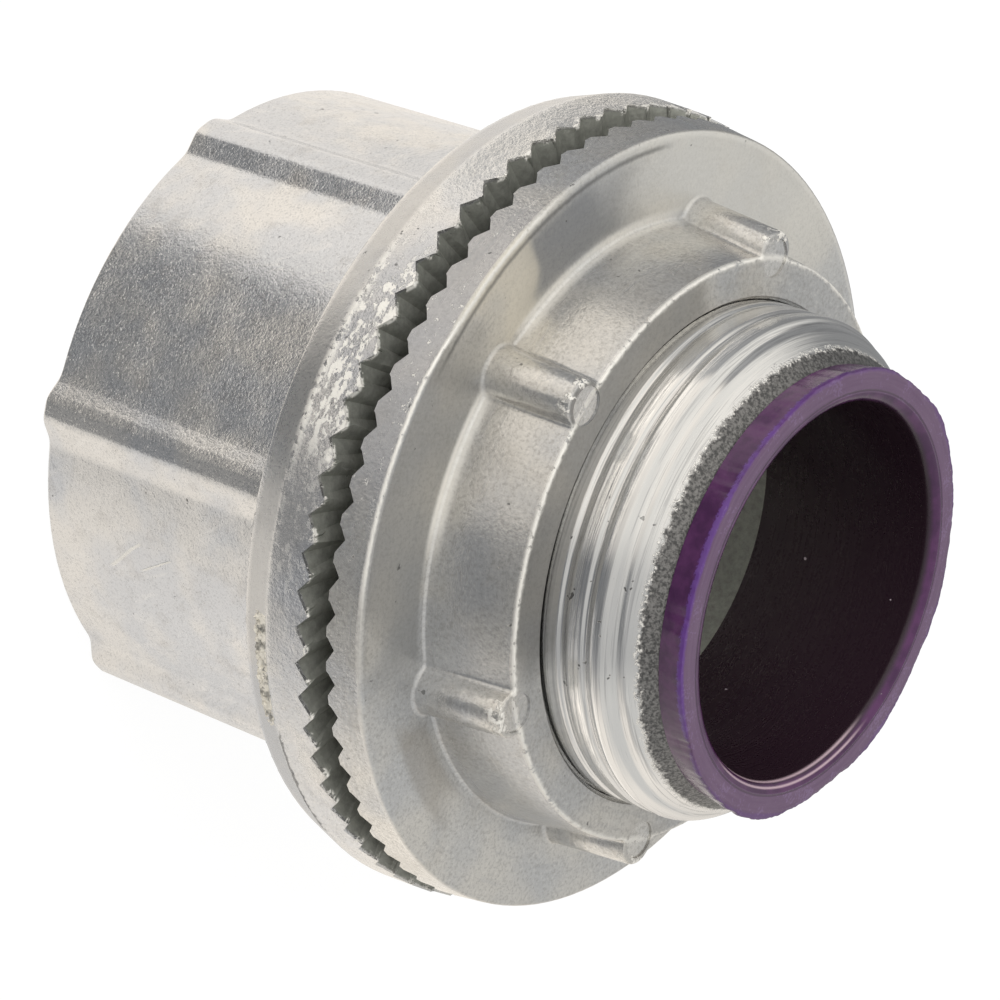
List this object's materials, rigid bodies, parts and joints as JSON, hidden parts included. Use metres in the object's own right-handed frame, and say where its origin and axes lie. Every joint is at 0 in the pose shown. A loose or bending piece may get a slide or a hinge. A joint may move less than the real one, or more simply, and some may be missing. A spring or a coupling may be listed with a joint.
{
  "type": "conduit hub",
  "caption": "Cast conduit hub with a threaded socket, ribbed barrel, toothed flange, sealing ring, insulated throat and a lugged locknut that clamps it through an enclosure wall.",
  "frame": {"origin": "centre of the flat end that the conduit screws into, at the bottom", "axes": "+Z along the bore from the conduit socket to the nipple; -Y through one rib of the barrel"},
  "size_m": [0.0542, 0.0542, 0.0469],
  "materials": {
    "hub_casting": "as-cast zinc alloy, bright where machined or worn",
    "nut_casting": "smooth as-cast zinc alloy",
    "throat_plastic": "moulded, dark violet, slightly translucent",
    "seal_rubber": "matte"
  },
  "bodies": {
    "hub": {"hub_body": "hub_casting", "sealing_ring": "seal_rubber", "insulating_throat": "throat_plastic"},
    "locknut": {"locknut": "nut_casting"}
  },
  "joints": [
    {"name": "locknut_turn", "type": "hinge", "parent": "hub", "child": "locknut", "pos_m": [0, 0, 0.0333], "axis": [0, 0, 1], "continuous": true}
  ]
}
